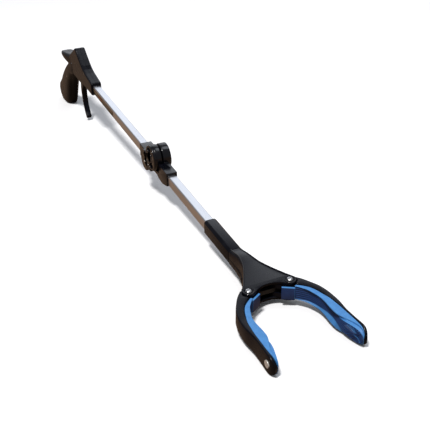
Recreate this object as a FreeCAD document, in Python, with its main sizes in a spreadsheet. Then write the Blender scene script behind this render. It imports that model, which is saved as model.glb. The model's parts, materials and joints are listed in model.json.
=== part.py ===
"""Folding reacher grabber: pistol handle and trigger, two-piece square tube with a fold
hinge and thumb latch, and a rotating head with two lined jaws worked by a pull cable.

Every piece is drawn level, in the tool's own axes: +X along the tube towards the jaws,
+Y to the user's left, +Z up, with the tube's centre line
at y = 0, z = 0.  At the end each piece gets one common Placement that stands the tool on
its three resting points (the butt and the two jaws), so that Z = 0 is the table.
"""
import FreeCAD, Part
import math
import os

from FreeCAD import Placement, Rotation, Vector

os.makedirs("parts", exist_ok=True)
doc = FreeCAD.newDocument("ReacherGrabber")

# ---------------------------------------------------------------- driving dimensions, mm
SIZES = {
    # square tube and cable
    "tube_width": 11.2, "tube_height": 13.5, "tube_wall": 1.0, "tube_round": 1.8,
    "slip": 0.05, "cable_radius": 0.6, "cable_bore": 1.3,
    "rear_tube_start": 84, "rear_tube_end": 366, "front_tube_start": 421, "front_tube_end": 606,
    # handle
    "mouth": 112, "housing_half": 8.75, "grip_half": 12, "shell_wall": 2.4,
    "trigger_x": 46, "trigger_z": 10.05, "trigger_arm": 10.4, "trigger_lead": 15,
    "trigger_half": 4.3, "trigger_hub": 5.2, "trigger_pin_radius": 2,
    # fold hinge and latch
    "hinge_x": 400, "hinge_z": 12, "drum_radius": 17, "drum_half": 12.1, "drum_gap": 0.8,
    "drum_clear": 0.45, "hinge_bolt_radius": 3, "collar_half": 8.6,
    "latch_x": 377, "latch_z": -3.2, "latch_pin_radius": 1.5, "latch_half": 5.0,
    "lobe_radius": 14.5,
    # rotating head
    "sleeve_start": 566, "seam": 632, "seam_gap": 0.35, "sleeve_half_width": 7.8,
    "sleeve_half_height": 9.3, "spigot_radius": 5, "flange_radius": 6, "spigot_bore": 3.2,
    "flange_start": 644, "flange_end": 647,
    "plate_top": 14.2, "plate_bottom": -7.6, "plate_thick": 3.0, "jaw_mid": 3.3,
    "pivot_x": 709, "pivot_y": 22.9, "ear_radius": 6.6, "pivot_radius": 2.0,
    "arc_centre": 729.7, "arc_radius": 23.7,
    # jaws, liners and slider
    "jaw_half_height": 10.2, "root_half_height": 7.4, "fork_half": 2.8, "wing_half": 2.4,
    "boss_radius": 7.9, "link_back": 8, "link_in": 16, "link_pin_radius": 1.5,
    "slider_back": 684, "slider_front": 705.5, "magnet_radius": 3.8, "magnet_x": 799, "tip_x": 800, "tip_mid": 6.8,
    # stance on a table
    "stance_tilt": 5.93,
}
sheet = doc.addObject("Spreadsheet::Sheet", "Sizes")
for row, (name, value) in enumerate(SIZES.items(), start=1):
    sheet.set(f"A{row}", name)
    sheet.set(f"B{row}", str(value))
    sheet.setAlias(f"B{row}", name)
doc.recompute()

NODES = {}          # node name -> the document object that is that piece
ALONG = {"X": Rotation(Vector(0, 1, 0), 90), "Y": Rotation(Vector(1, 0, 0), -90), "Z": Rotation()}


def size(name):
    return SIZES[name]


def bind(thing, **expressions):
    """Bind properties to expressions over the sheet; '_' in a key stands for '.'."""
    for key, text in expressions.items():
        for name in sorted(SIZES, key=len, reverse=True):
            text = replace_word(text, name)
        thing.setExpression(key.replace("_", "."), text)


def replace_word(text, name):
    """Put 'Sizes.' before each whole-word use of a sheet alias."""
    out, start = "", 0
    while True:
        at = text.find(name, start)
        if at < 0:
            return out + text[start:]
        before = text[at - 1] if at else " "
        after = text[at + len(name)] if at + len(name) < len(text) else " "
        whole = not (before.isalnum() or before in "_.") and not (after.isalnum() or after == "_")
        out += text[start:at] + ("Sizes." if whole else "") + name
        start = at + len(name)


def keep(node, thing):
    """Name a finished piece."""
    thing.Label = node
    NODES[node] = thing
    return thing


# ---------------------------------------------------------------- Part primitives
def box(x, y, z):
    """A box from three (low, high) pairs of expressions."""
    thing = doc.addObject("Part::Box", "Block")
    bind(thing, Length=f"({x[1]}) - ({x[0]})", Width=f"({y[1]}) - ({y[0]})",
         Height=f"({z[1]}) - ({z[0]})", Placement_Base_x=x[0], Placement_Base_y=y[0],
         Placement_Base_z=z[0])
    return thing


def rod(axis, radius, span, u, v, tip=None):
    """A cylinder, or a cone when tip gives its far radius, along X, Y or Z over span."""
    thing = doc.addObject("Part::Cone" if tip else "Part::Cylinder", "Rod")
    thing.Placement.Rotation = ALONG[axis]
    where = {"X": (span[0], u, v), "Y": (u, span[0], v), "Z": (u, v, span[0])}[axis]
    bind(thing, Height=f"({span[1]}) - ({span[0]})", Placement_Base_x=where[0],
         Placement_Base_y=where[1], Placement_Base_z=where[2])
    if tip:
        bind(thing, Radius1=radius, Radius2=tip)
    else:
        bind(thing, Radius=radius)
    return thing


def fuse(*things):
    if len(things) == 1:
        return things[0]
    thing = doc.addObject("Part::MultiFuse", "Joined")
    thing.Shapes = list(things)
    return thing


def cut(base, *tools):
    thing = doc.addObject("Part::Cut", "Cut")
    thing.Base = base
    thing.Tool = fuse(*tools)
    return thing


def common(first, second):
    thing = doc.addObject("Part::Common", "Shared")
    thing.Base = first
    thing.Tool = second
    return thing


def chamfer(base, depth, wanted):
    """Chamfer the edges of base for which wanted(edge) is true."""
    doc.recompute()
    thing = doc.addObject("Part::Chamfer", "Bevel")
    thing.Base = base
    thing.Edges = [(i, depth, depth) for i, edge in enumerate(base.Shape.Edges, start=1)
                   if wanted(edge)]
    return thing


def mirrored(source):
    """The same piece on the other side of the tool's middle plane."""
    thing = doc.addObject("Part::Mirroring", "Mirror")
    thing.Source = source
    thing.Normal = Vector(0, 1, 0)
    thing.Base = Vector(0, 0, 0)
    return thing


# ---------------------------------------------------------------- PartDesign features
NORMAL = {"XY": 1, "XZ": -1, "YZ": 1}     # which way a sketch on each origin plane faces


def new_body():
    return doc.addObject("PartDesign::Body", "Body")


def sketch_on(body, plane, at):
    """An empty sketch on one of the body's origin planes, moved to 'at' along its axis."""
    sketch = body.newObject("Sketcher::SketchObject", "Outline")
    origin = next(f for f in body.Origin.OriginFeatures if f.Role == plane + "_Plane")
    sketch.AttachmentSupport = (origin, [""])
    sketch.MapMode = "FlatFace"
    bind(sketch, AttachmentOffset_Base_z=f"{NORMAL[plane]} * ({at})")
    return sketch


def draw(sketch, points):
    """A closed outline of straight runs; a third number rounds that corner."""
    count = len(points)
    ends = []
    for i, point in enumerate(points):
        corner = Vector(point[0], point[1], 0)
        radius = point[2] if len(point) > 2 else 0
        if not radius:
            ends.append((corner, corner))
            continue
        before = Vector(*points[i - 1][:2], 0) - corner
        after = Vector(*points[(i + 1) % count][:2], 0) - corner
        before.normalize()
        after.normalize()
        half = before.getAngle(after) / 2
        reach = radius / math.tan(half)
        middle = before + after
        middle.normalize()
        start, end = corner + before * reach, corner + after * reach
        crown = corner + middle * (radius / math.sin(half) - radius)
        sketch.addGeometry(Part.Arc(start, crown, end))
        ends.append((start, end))
    for i in range(count):
        start, end = ends[i][1], ends[(i + 1) % count][0]
        if (end - start).Length > 1e-6:
            sketch.addGeometry(Part.LineSegment(start, end))


def spline(sketch, points):
    curve = Part.BSplineCurve()
    curve.interpolate([Vector(u, v, 0) for u, v in points])
    sketch.addGeometry(curve)


def line(sketch, start, end):
    sketch.addGeometry(Part.LineSegment(Vector(*start, 0), Vector(*end, 0)))


def pad(body, sketch, plane, low, high):
    feature = body.newObject("PartDesign::Pad", "Pad")
    feature.Profile = sketch
    feature.Reversed = plane == "XZ"
    bind(feature, Length=f"({high}) - ({low})")
    sketch.Visibility = False
    return feature


def pocket(body, sketch, plane, low, high):
    """Cut the sketch away from low to high, and make sure that it did cut."""
    doc.recompute()
    before = body.Shape.Volume
    feature = body.newObject("PartDesign::Pocket", "Pocket")
    feature.Profile = sketch
    feature.Reversed = plane != "XZ"
    bind(feature, Length=f"({high}) - ({low})")
    sketch.Visibility = False
    doc.recompute()
    if body.Shape.Volume > before - 0.01:
        raise RuntimeError("a pocket in " + body.Name + " cuts nothing")
    return feature


def add_plate(body, plane, low, high, points):
    sketch = sketch_on(body, plane, low)
    draw(sketch, points)
    return pad(body, sketch, plane, low, high)


def cut_plate(body, plane, low, high, points):
    sketch = sketch_on(body, plane, low)
    draw(sketch, points)
    return pocket(body, sketch, plane, low, high)


def helix_spring(radius, wire, pitch, length, place):
    """A round-wire compression spring, made along Z and then placed."""
    path = Part.makeHelix(pitch, length, radius)
    start = path.Edges[0].valueAt(path.Edges[0].FirstParameter)
    ahead = path.Edges[0].tangentAt(path.Edges[0].FirstParameter)
    section = Part.Wire(Part.makeCircle(wire, start, ahead))
    solid = Part.Wire(path.Edges).makePipeShell([section], True, True)
    solid.Placement = place
    thing = doc.addObject("Part::Feature", "Spring")
    thing.Shape = solid
    return thing


def table_z(x):
    """Height of the table under the level tool: a plane that touches both rounded jaw tips."""
    tilt = math.radians(size("stance_tilt"))
    return size("tip_mid") - size("jaw_half_height") / math.cos(tilt) - math.tan(tilt) * (size("tip_x") - x)


# ---------------------------------------------------------------- handle
HOUSING = [(112, -9.5, 1), (112, 10.9, 1), (62, 20, 40), (25, 43, 3), (-24, 17, 6),
           (-26, -8, 6), (-6, -12.5, 6), (48, -12.5, 4), (56, -9.5, 4)]
HORN = [(-14, 21, 3), (-50, 14.5, 12), (-79, 8.5, 3), (-71, 1, 4), (-37, -1.5, 9), (-20, -8, 3)]
# the grip's oval sections: front x, z; back x, z; half width
GRIP = [(4, 6, -31, 13, 8.5), (-8, -13.5, -39, -1, 10.8), (-31, -27.5, -62, -18, 12),
        (-49, -52, -94.5, -41, 12), (-60.5, -75, -118, -62.5, 12), (-70.8, -90, -133, -81, 12),
        (-73, table_z(-73), -130.5, table_z(-130.5), 11.2)]
HOUSING_CAVITY = [(109, 8.2, 1), (62, 17, 10), (27, 39, 2), (-16, 15.5, 4), (-16, -6, 4),
                  (50, -7, 2), (109, -7, 1)]
GRIP_CAVITY = [(-44, -14, 5), (-84, -45, 8), (-108, -80, 8), (-80, -82, 6), (-56, -48, 10),
               (-34, -16, 5)]
HOUSING_SCREWS = [(16, 31), (-9, 8), (66, 12.6)]
GRIP_SCREWS = [(-50, -30), (-92, -74)]


def plate(plane, low, high, points):
    body = new_body()
    add_plate(body, plane, low, high, points)
    return body


def oval_section(front_x, front_z, back_x, back_z, half_width):
    """An ellipse whose long axis joins a front and a back point of the side view."""
    along = Vector(front_x - back_x, 0, front_z - back_z)
    thing = doc.addObject("Part::Ellipse", "Section")
    thing.MajorRadius = along.Length / 2
    thing.MinorRadius = half_width
    along.normalize()
    across = Vector(0, 1, 0)
    turn = Rotation(along, across, along.cross(across), "XYZ")
    thing.Placement = Placement(Vector((front_x + back_x) / 2, 0, (front_z + back_z) / 2), turn)
    return thing


def build_handle():
    """Two moulded halves, split on the middle plane, with the trigger and tube between."""
    grip = doc.addObject("Part::Loft", "Grip")
    grip.Sections = [oval_section(*row) for row in GRIP]
    grip.Solid = True
    half_grip = common(grip, box(("-140", "20"), ("0", "30"), ("-110", "30")))
    outside = fuse(plate("XZ", "0", "housing_half", HOUSING), plate("XZ", "0", "grip_half - 1", HORN),
                   half_grip)
    hollow = cut(outside, plate("XZ", "-1", "housing_half - shell_wall", HOUSING_CAVITY),
                 plate("XZ", "-1", "grip_half - 4.6", GRIP_CAVITY),
                 plate("XZ", "-1", "trigger_half + 0.4", [(-5, -5), (-5, -14), (49.5, -14), (49.5, -5)]))
    # a solid block round the end of the tube, with its socket and the cable's way through
    start, top = size("rear_tube_start"), size("tube_height") / 2 + size("slip")
    block = plate("XZ", "0", "housing_half - shell_wall + 0.2",
                  [(start - 4, -7.5), (111, -7.5), (111, 9.5), (start - 4, 12)])
    body = cut(fuse(hollow, block),
               plate("XZ", "-1", "tube_width / 2 + slip",
                     [(start, -top), (113, -top), (113, top), (start, top)]),
               plate("XZ", "-1", "cable_bore + 0.6",
                     [(start - 5, -1.9), (start + 1, -1.9), (start + 1, 1.9), (start - 5, 1.9)]))
    bosses = [rod("Y", "3.4", ("0", "housing_half - 1"), str(x), str(z)) for x, z in HOUSING_SCREWS]
    bosses += [rod("Y", "3.4", ("0", "grip_half - 1"), str(x), str(z)) for x, z in GRIP_SCREWS]
    bosses.append(rod("Y", "4.2", ("trigger_half + 0.5", "housing_half - 1"), "trigger_x", "trigger_z"))
    solid = fuse(body, *bosses)
    pin_hole = rod("Y", "trigger_pin_radius", ("-1", "housing_half - 1.2"), "trigger_x", "trigger_z")
    threads = [rod("Y", "1.3", ("-1", "7"), str(x), str(z)) for x, z in HOUSING_SCREWS + GRIP_SCREWS]
    keep("handle_shell_left", cut(solid, pin_hole, *threads))
    # the right half takes the screws, so it is bored through and counterbored
    clear = [rod("Y", "1.5", ("-1", "20"), str(x), str(z)) for x, z in HOUSING_SCREWS + GRIP_SCREWS]
    seats = [rod("Y", "2.9", ("housing_half - 1.9", "20"), str(x), str(z)) for x, z in HOUSING_SCREWS]
    seats += [rod("Y", "2.9", ("grip_half - 1.9", "20"), str(x), str(z)) for x, z in GRIP_SCREWS]
    keep("handle_shell_right", cut(mirrored(solid), mirrored(fuse(pin_hole, *clear, *seats))))
    screws = []
    for half, places in (("housing_half", HOUSING_SCREWS), ("grip_half", GRIP_SCREWS)):
        for x, z in places:
            shank = rod("Y", "1.3", (f"-({half}) + 1.9", "6.5"), str(x), str(z))
            top = rod("Y", "2.75", (f"-({half}) + 0.3", f"-({half}) + 1.9"), str(x), str(z))
            screws.append(cut(fuse(shank, top), *cross_slot("Y", x, z, f"-({half})", f"-({half}) + 1.1")))
    keep("handle_screws", fuse(*screws))
    keep("trigger_pin", rod("Y", "trigger_pin_radius", ("-housing_half + 1.3", "housing_half - 1.3"),
                            "trigger_x", "trigger_z"))


def cross_slot(axis, u, v, low, high):
    """Two crossed bars that cut a driver recess."""
    bars = []
    for wide, tall in ((1.5, 0.35), (0.35, 1.5)):
        span = {"Y": ((f"{u - wide}", f"{u + wide}"), (low, high), (f"{v - tall}", f"{v + tall}")),
                "Z": ((f"{u - wide}", f"{u + wide}"), (f"{v - tall}", f"{v + tall}"), (low, high))}[axis]
        bars.append(box(*span))
    return bars


# ---------------------------------------------------------------- trigger and cable
TRIGGER = [(40.5, 14, 4), (51, 14, 4), (52, -3, 3), (45, -12, 4), (31, -28, 14), (28.5, -42, 30),
           (31, -56, 30), (37, -67, 14), (44.5, -74, 2.4), (40, -80.4, 3), (30, -68.5, 16),
           (24.5, -56, 30), (21, -42, 30), (19.5, -30, 16), (24, -12, 10), (35, -5, 5)]


def anchor_place():
    """Where the cable's barrel sits in the trigger: ahead of the pivot by the lead angle."""
    lead = math.radians(size("trigger_lead"))
    arm = size("trigger_arm")
    return size("trigger_x") + arm * math.sin(lead), size("trigger_z") - arm * math.cos(lead)


def build_trigger():
    body = new_body()
    add_plate(body, "XZ", "-trigger_half", "trigger_half", TRIGGER)
    x, z = anchor_place()
    # the cable leaves forwards at rest and, seen from the pulled trigger, 30 degrees higher
    cut_plate(body, "XZ", "-cable_radius - 0.4", "cable_radius + 0.4",
              [(x, z - 1.3), (x + 12, z - 1.3), (x + 12, z + 9), (x, z + 1.3)])
    hub = rod("Y", "trigger_hub", ("-trigger_half", "trigger_half"), "trigger_x", "trigger_z")
    bore = rod("Y", "trigger_pin_radius + slip", ("-9", "9"), "trigger_x", "trigger_z")
    seat = rod("Y", "2.35", ("-9", "9"), str(x), str(z))
    slot = box((str(x), str(x + 5)), ("-cable_radius - 0.4", "cable_radius + 0.4"),
               (str(z - 1.3), str(z + 1.3)))
    keep("trigger", cut(fuse(body, hub), bore, seat, slot))
    keep("cable_anchor", rod("Y", "2.3", ("-3.2", "3.2"), str(x), str(z)))
    keep("cable_rear", rod("X", "cable_radius", (str(x + 2.35), "hinge_x - 0.05"), "0", str(z)))
    keep("cable_front", rod("X", "cable_radius", ("hinge_x + 0.05", "slider_back + 4"), "0", str(z)))


# ---------------------------------------------------------------- tubes
def build_tube(node, start, end):
    """A drawn square tube with rounded corners, inside and out."""
    wide, tall, wall = size("tube_width") / 2, size("tube_height") / 2, size("tube_wall")
    outer, inner = size("tube_round"), size("tube_round") - wall
    body = new_body()
    add_plate(body, "YZ", start, end, [(wide, tall, outer), (-wide, tall, outer),
                                       (-wide, -tall, outer), (wide, -tall, outer)])
    wide, tall = wide - wall, tall - wall
    cut_plate(body, "YZ", start, end, [(wide, tall, inner), (-wide, tall, inner),
                                       (-wide, -tall, inner), (wide, -tall, inner)])
    keep(node, body)


# ---------------------------------------------------------------- fold hinge and latch
def drum(low, high):
    return chamfer(rod("Y", "drum_radius", (low, high), "hinge_x", "hinge_z"), 0.9,
                   lambda edge: edge.Curve.TypeId == "Part::GeomCircle")


def face_pockets(low, high):
    """Moulded recesses in a drum's flat face: two kidneys, two small holes and a ring."""
    tools = []
    for turn in (105, 285):
        for step in (-22, 0, 22):
            a = math.radians(turn + step)
            x = size("hinge_x") + 11.6 * math.cos(a)
            z = size("hinge_z") + 11.6 * math.sin(a)
            tools.append(rod("Y", "2.7", (low, high), str(x), str(z)))
        a = math.radians(turn - 62)
        x = size("hinge_x") + 10.8 * math.cos(a)
        z = size("hinge_z") + 10.8 * math.sin(a)
        tools.append(rod("Y", "1.3", (low, high), str(x), str(z)))
    return tools


def build_hinge():
    """Two knuckles: each has a collar for its tube and one half of the drum."""
    low_half, high_half = "-drum_half", "drum_half"
    x, z = "hinge_x", "hinge_z"
    collar = chamfer(box(("348", "384"), ("-collar_half", "collar_half"), ("-8.4", "10")), 0.7,
                     lambda edge: edge.BoundBox.XLength > 30 or edge.BoundBox.XMax < 349)
    neck = box(("376", "400"), ("-drum_half", "-drum_gap"), ("-8", "10"))
    lobes = [rod("Y", "lobe_radius", span, "latch_x", "-1") for span in
             ((low_half, "-collar_half + 0.5"), ("collar_half - 0.5", high_half))]
    away = rod("Y", "drum_radius + drum_clear", ("-drum_gap", "20"), x, z)
    socket = box(("340", "rear_tube_end + 0.1"), ("-tube_width/2 - slip", "tube_width/2 + slip"),
                 ("-tube_height/2 - slip", "tube_height/2 + slip"))
    hollow = box(("rear_tube_end", "390"), ("-latch_half - 0.4", "latch_half + 0.4"), ("-30", "5.2"))
    bolt_hole = rod("Y", "hinge_bolt_radius + slip", ("-20", "20"), x, z)
    pin_hole = rod("Y", "latch_pin_radius", ("-20", "20"), "latch_x", "latch_z")
    head_seat = rod("Y", "5.2", ("-20", "-drum_half + 2.6"), x, z)
    keep("hinge_knuckle_rear",
         cut(fuse(cut(fuse(collar, neck, *lobes), away), drum(low_half, "-drum_gap")),
             socket, hollow, bolt_hole, pin_hole, head_seat, *face_pockets("-20", "-drum_half + 2")))

    front = new_body()
    add_plate(front, "XZ", "-7.25", "7.25",
              [(417.9, 10.2), (447, 10.2, 0.8), (447, -7.5, 0.8), (441, -9.2, 3), (429, -12.2, 3),
               (416, -11, 2), (413, -9, 1), (401, -8, 1), (401, -3), (417.9, -3)])
    side = box(("400", "419"), ("drum_gap", "7.25"), ("-5", "10.2"))
    clear = rod("Y", "drum_radius + drum_clear", ("-20", "drum_gap"), x, z)
    nose = cut(front, clear)
    tube_hole = box(("front_tube_start - 0.1", "460"), ("-tube_width/2 - slip", "tube_width/2 + slip"),
                    ("-tube_height/2 - slip", "tube_height/2 + slip"))
    cable_hole = rod("X", "cable_bore", ("410", "430"), "0", "0")
    nut_seat = rod("Y", "5.2", ("drum_half - 2.6", "20"), x, z)
    keep("hinge_knuckle_front",
         cut(fuse(nose, side, drum("drum_gap", high_half)), tube_hole, cable_hole, nut_seat,
             rod("Y", "hinge_bolt_radius + slip", ("-20", "20"), x, z),
             *face_pockets("drum_half - 2", "20")))

    head = rod("Y", "4.9", ("-drum_half + 0.4", "-drum_half + 2.6"), x, z)
    shank = rod("Y", "hinge_bolt_radius", ("-drum_half + 1", "drum_half - 0.6"), x, z)
    socket_head = rod("Y", "1.9", ("-20", "-drum_half + 2"), x, z)
    keep("hinge_bolt", cut(fuse(head, shank), socket_head))
    keep("hinge_nut", cut(rod("Y", "4.9", ("drum_half - 2.5", "drum_half - 0.4"), x, z),
                          rod("Y", "hinge_bolt_radius", ("0", "20"), x, z)))
    keep("hinge_washer", cut(rod("Y", "8.5", ("-drum_gap + 0.05", "drum_gap - 0.05"), x, z),
                             rod("Y", "hinge_bolt_radius + slip", ("-2", "2"), x, z)))


def build_latch():
    """A thumb lever on a cross pin: its pad is pressed up, its arm drops off the catch."""
    x, z = size("latch_x"), size("latch_z")
    lever = new_body()
    add_plate(lever, "XZ", "-latch_half", "latch_half",
              [(x - 1.9, z), (x + 1.9, z), (380.5, -9.6, 2), (411, -9.6, 0.6), (411, -12.2, 1),
               (387, -12.8, 4), (382, -16.6, 3), (363, -16.8, 1.4), (363, -14, 1), (372, -12.6, 3)])
    hub = rod("Y", "2.3", ("-latch_half", "latch_half"), "latch_x", "latch_z")
    bore = rod("Y", "latch_pin_radius + slip", ("-9", "9"), "latch_x", "latch_z")
    keep("fold_latch", cut(fuse(lever, hub), bore))
    keep("latch_pin", rod("Y", "latch_pin_radius", ("-drum_half - 0.5", "drum_half + 0.5"),
                          "latch_x", "latch_z"))
    keep("latch_spring", helix_spring(2.2, 0.4, 1.2, 3.2, Placement(Vector(367.5, 0, -12.2), Rotation())))


# ---------------------------------------------------------------- rotating head
SLEEVE_CHAMFER = (2.9, 2.7)      # how far each corner is cut back across and down
HEAD_SIDE = [(648, 7.8, 30), (664, 9.6, 40), (676, 13, 40), (691, 20.6, 60), (704, 27.2)]
CAVITY_SIDE = [(650, 4.6), (664, 6.8, 40), (676, 10.2, 40), (697, 21.6)]
HEAD_SCREWS = [(671, 9.6), (688, 17.4)]


def eight_sided(wide, tall):
    across, down = SLEEVE_CHAMFER
    corner = [(wide, tall - down), (wide - across, tall)]
    upper = corner + [(-y, z) for y, z in reversed(corner)]
    return upper + [(-y, -z) for y, z in upper]


def build_sleeve():
    """The collar that is fixed on the front tube, and the spigot that the head turns on."""
    body = new_body()
    add_plate(body, "YZ", "sleeve_start", "seam - seam_gap",
              eight_sided(size("sleeve_half_width"), size("sleeve_half_height")))
    spigot = rod("X", "spigot_radius", ("seam - 2", "flange_end + 1"), "0", "0")
    flange = rod("X", "flange_radius", ("flange_start", "flange_end"), "0", "0")
    socket = box(("sleeve_start - 1", "front_tube_end + 0.1"),
                 ("-tube_width/2 - slip", "tube_width/2 + slip"),
                 ("-tube_height/2 - slip", "tube_height/2 + slip"))
    keep("head_sleeve", cut(fuse(body, spigot, flange), socket,
                            rod("X", "cable_bore", ("600", "660"), "0", "0")))


def head_outline(sign):
    """The head's plan: narrow at the seam, flared to the two jaw ears."""
    start = size("seam")
    left = [(start, 7.8)] + HEAD_SIDE + [(714, 20)]
    return left + [(p[0], -p[1], *p[2:]) for p in reversed(left)] if sign else left


def build_head_shell(node, low, high, inside):
    """One half of the head: a plate with side walls, open at the front for the jaws."""
    body = new_body()
    add_plate(body, "XY", low, high, head_outline(True))
    open_front = CAVITY_SIDE + [(697, 40), (740, 40)]
    cut_plate(body, "XY", inside[0], inside[1],
              open_front + [(p[0], -p[1], *p[2:]) for p in reversed(open_front)])
    return body


def build_head():
    sides = (1, -1)
    plate_low, plate_high = "plate_bottom + plate_thick", "plate_top - plate_thick"
    screw_places = [(x, side * y) for x, y in HEAD_SCREWS for side in sides]
    front = rod("Z", "arc_radius", ("-30", "30"), "arc_centre", "0")
    swivel = [rod("X", "spigot_radius + slip", ("600", "flange_end + 1.3"), "0", "0"),
              rod("X", "flange_radius + slip", ("flange_start - 0.06", "flange_end + 0.06"), "0", "0"),
              rod("X", "cable_bore", ("640", "655"), "0", "0")]
    pivots = [rod("Z", "pivot_radius + 0.01", ("-30", "30"), "pivot_x", f"{side} * pivot_y")
              for side in sides]
    for node, low, high, inside, ear in (
            ("head_shell_top", "0", "plate_top", ("0", plate_high), (plate_high, "plate_top")),
            ("head_shell_bottom", "plate_bottom", "0", (plate_low, "0"), ("plate_bottom", plate_low))):
        body = build_head_shell(node, low, high, inside)
        if node == "head_shell_top":
            cut_plate(body, "XZ", "-20", "20", [(600, 9.3), (640, 9.3), (658, 14.2), (658, 20), (600, 20)])
        extra = [] if node == "head_shell_top" else [box(("seam", "650"), ("-4.9", "4.9"), ("-9.3", "-7"))]
        ears = [rod("Z", "ear_radius", ear, "pivot_x", f"{side} * pivot_y") for side in sides]
        bosses = [rod("Z", "2.5", inside, str(x), str(y)) for x, y in screw_places]
        holes = [rod("Z", "1.1", ("-7.7", "9.5"), str(x), str(y)) for x, y in screw_places]
        if node == "head_shell_bottom":
            holes += [rod("Z", "2.3", ("-9", "plate_bottom + 1.5"), str(x), str(y)) for x, y in screw_places]
        keep(node, cut(fuse(cut(fuse(body, *extra), front), *ears, *bosses), *swivel, *pivots, *holes))
    screws = [cut(fuse(rod("Z", "1.1", ("plate_bottom + 1.5", "8.5"), str(x), str(y)),
                       rod("Z", "2.2", ("plate_bottom + 0.2", "plate_bottom + 1.5"), str(x), str(y))),
                  *cross_slot("Z", x, y, "-9", "plate_bottom + 0.9")) for x, y in screw_places]
    keep("head_screws", fuse(*screws))
    bolts, nuts = [], []
    for side in sides:
        y = f"{side} * pivot_y"
        top = rod("Z", "3.2", ("plate_top", "plate_top + 0.6"), "pivot_x", y)
        dome = rod("Z", "3.2", ("plate_top + 0.6", "plate_top + 1.5"), "pivot_x", y, tip="2")
        shank = rod("Z", "pivot_radius", ("plate_bottom - 1.6", "plate_top + 0.1"), "pivot_x", y)
        bolts.append(fuse(top, dome, shank))
        nut = rod("Z", "3.3", ("plate_bottom - 1.8", "plate_bottom"), "pivot_x", y)
        nuts.append(cut(nut, rod("Z", "pivot_radius", ("-30", "0"), "pivot_x", y)))
    keep("pivot_bolts", fuse(*bolts))
    keep("pivot_nuts", fuse(*nuts))
    turn = Placement(Vector(652, 0, 0), ALONG["X"])
    keep("return_spring", helix_spring(2.9, 0.4, 3.1, 31, turn))


# ---------------------------------------------------------------- jaws
JAW_OUTER = [(704, 29), (710, 34), (717, 38.7), (728, 44.8), (743, 48.9), (757, 49.5), (773, 47.9),
             (788, 48.2), (798, 48.6), (805, 47.9), (809.8, 45.8)]
JAW_INNER = [(716.8, 21.6), (722, 31), (729, 36), (738, 39.8), (750, 43.2), (765, 44.8),
             (780, 45.3), (790, 45.6), (798, 45.5), (804, 44.8), (808.8, 43.2)]
LINER_TOP = [(719.4, 22.3), (727, 30.2), (735, 33.6), (741, 35.6), (747, 36.8), (757, 36.8),
             (766, 36.2), (775, 36.5), (782, 37.6), (790, 39.3), (797, 41.2), (803, 42.4), (808, 42.4)]
LINER_FACE = [(719.4, 22.3), (727, 29), (735, 32.4), (745, 35), (752, 35.6), (760, 35.2), (768, 34.9),
              (776, 35.4), (784, 36.9), (792, 38.7), (799, 40.6), (804, 41.5), (808, 41.6)]
# the jaw's side view short of its oval tip: level below, its top edge rising towards the tip
JAW_SIDE = [(690, -3.4), (800, -3.4), (800, 17), (745, 13.5), (690, 13.5)]
TAIL = [(698, 8.5), (702, 23), (709, 29), (716.7, 21.6), (711, 12.6), (704.4, 6.4), (701, 3.6)]
ROOT_STRIP = [(711.6, 12), (713.4, 10.9), (720.4, 23), (719, 24.6)]


def link_place():
    """Centre of the pin that joins the left jaw's tail to the slider."""
    return size("pivot_x") - size("link_back"), size("pivot_y") - size("link_in")


def between(body, low, high, first, second):
    """A plate between two curves that start and end near each other."""
    sketch = sketch_on(body, "XY", low)
    spline(sketch, first)
    spline(sketch, second)
    if first[0] != second[0]:
        line(sketch, first[0], second[0])
    if first[-1] != second[-1]:
        line(sketch, first[-1], second[-1])
    return pad(body, sketch, "XY", low, high)


def side_view(inset):
    """The jaw's outline in side view with its oval end, as a block reaching past the jaw."""
    block = new_body()
    middle = 5
    add_plate(block, "XZ", "0", "70", [(x, z + (inset if z < middle else -inset)) for x, z in JAW_SIDE])
    end = rod("Y", f"jaw_half_height - {inset}", ("0", "70"), "tip_x", "tip_mid")
    return fuse(block, end)


def build_left_jaw():
    """The jaw on the left of the tool: arm, lining and link pin."""
    px, py = link_place()
    level = ("jaw_mid - root_half_height", "jaw_mid + root_half_height")
    arm = new_body()
    between(arm, "tip_mid - jaw_half_height", "tip_mid + jaw_half_height", JAW_OUTER, JAW_INNER)
    # the space in front of the pivot is closed by the root plate below
    ear_room = [rod("Z", "ear_radius + 0.7", span, "pivot_x", "pivot_y")
                for span in ((level[1], "30"), ("-30", level[0]))]
    root = new_body()
    add_plate(root, "XY", level[0], level[1], TAIL)
    tail_end = rod("Z", "3.5", level, str(px), str(py))
    boss = rod("Z", "boss_radius", level, "pivot_x", "pivot_y")
    fork = box(("685", "712"), ("-5", "14.9"), ("jaw_mid - fork_half", "jaw_mid + fork_half"))
    bores = [rod("Z", "pivot_radius + slip", ("-30", "30"), "pivot_x", "pivot_y"),
             rod("Z", "link_pin_radius", ("-30", "30"), str(px), str(py))]
    arm_shape = common(cut(arm, *ear_room), side_view(0))
    jaw = cut(fuse(arm_shape, root, tail_end, boss), fork, *bores)
    pin = rod("Z", "link_pin_radius", (level[0], level[1]), str(px), str(py))

    lining = new_body()
    shifted = [(x, y - 0.2) for x, y in JAW_INNER[1:]]
    between(lining, "tip_mid - jaw_half_height", "tip_mid + jaw_half_height",
            [(718.1, 23.3)] + shifted, LINER_TOP)
    spine = new_body()
    between(spine, "-0.6", "11", LINER_TOP, LINER_FACE)
    strip = new_body()
    add_plate(strip, "XY", level[0], level[1], ROOT_STRIP)
    liner = fuse(common(fuse(lining, spine), side_view(0.4)), strip)
    return jaw, liner, pin


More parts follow.
